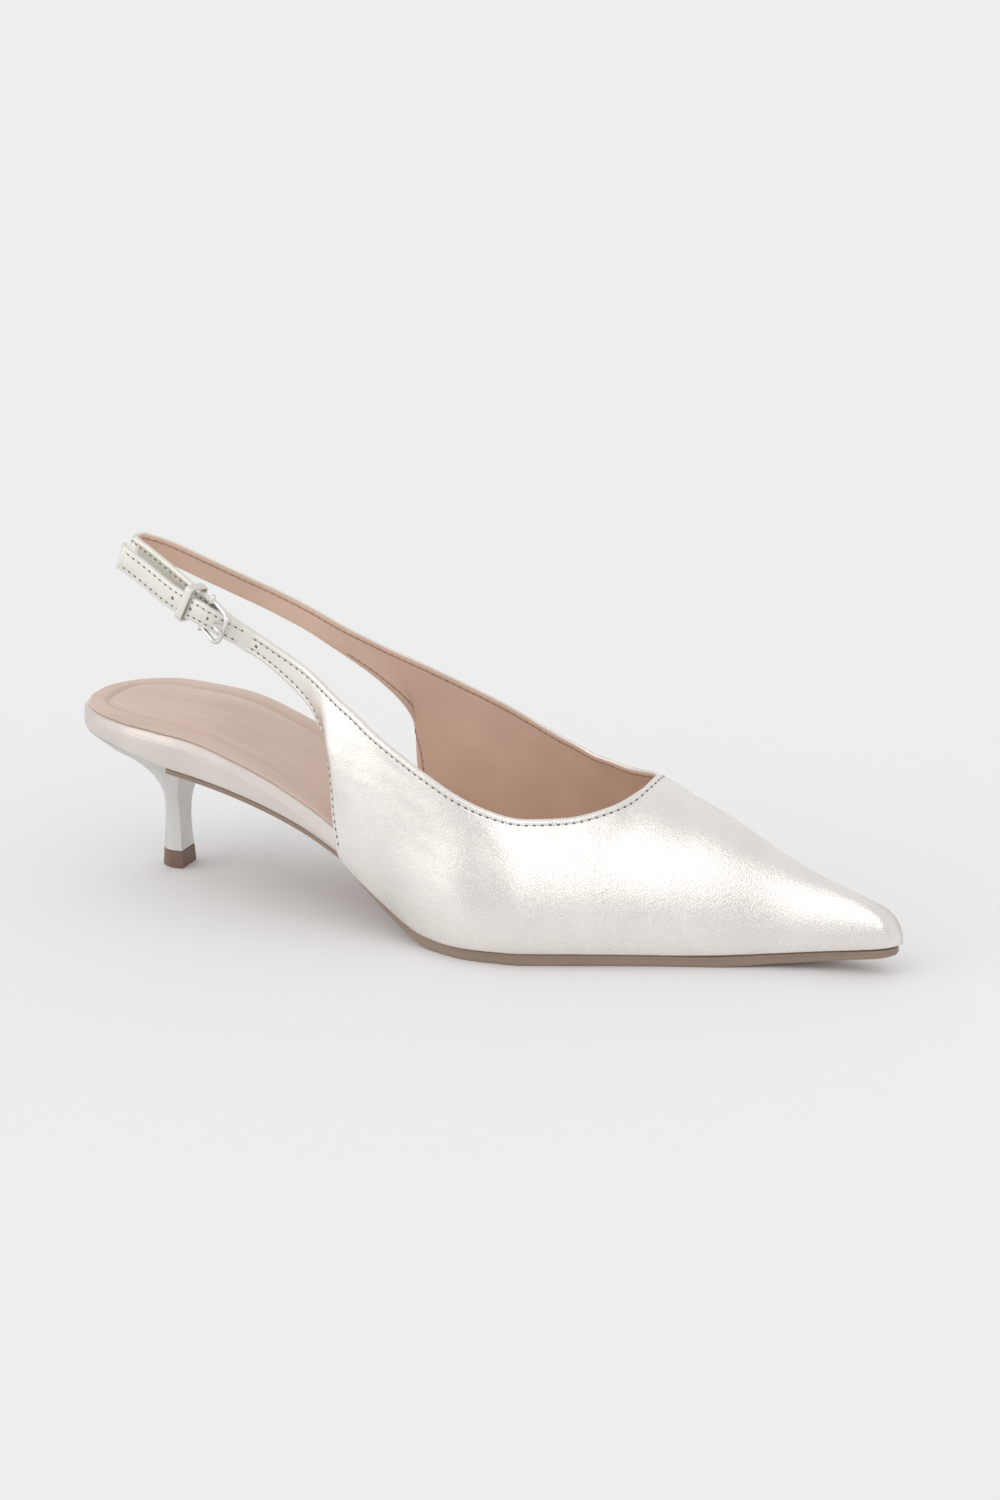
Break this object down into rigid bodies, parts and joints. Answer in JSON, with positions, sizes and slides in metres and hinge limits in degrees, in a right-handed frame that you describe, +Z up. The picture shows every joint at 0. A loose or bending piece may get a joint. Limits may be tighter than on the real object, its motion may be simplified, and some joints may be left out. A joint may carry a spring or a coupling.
{
  "type": "slingback pump",
  "caption": "Pointed slingback pump with a kitten heel, in silver metallic leather, its strap fastened by a small buckle on the outer side",
  "frame": {"origin": "middle of the shoe's box, on the floor", "axes": "+X from the heel to the toe, +Y to the inner side of the foot, +Z up"},
  "size_m": [0.2662, 0.0774, 0.1052],
  "materials": {
    "metallic_leather": "satin metallic foil",
    "heel_cover": "satin metallic foil",
    "insole_leather": "matte",
    "sole_brown": "matte",
    "buckle_steel": "polished"
  },
  "bodies": {
    "root": {"upper": "metallic_leather", "insole_board": "metallic_leather", "insole_cover": "insole_leather", "outsole": "sole_brown", "heel": "heel_cover", "heel_tip": "sole_brown", "buckle_frame": "buckle_steel", "buckle_prong": "buckle_steel", "strap_keeper": "metallic_leather"}
  },
  "joints": []
}
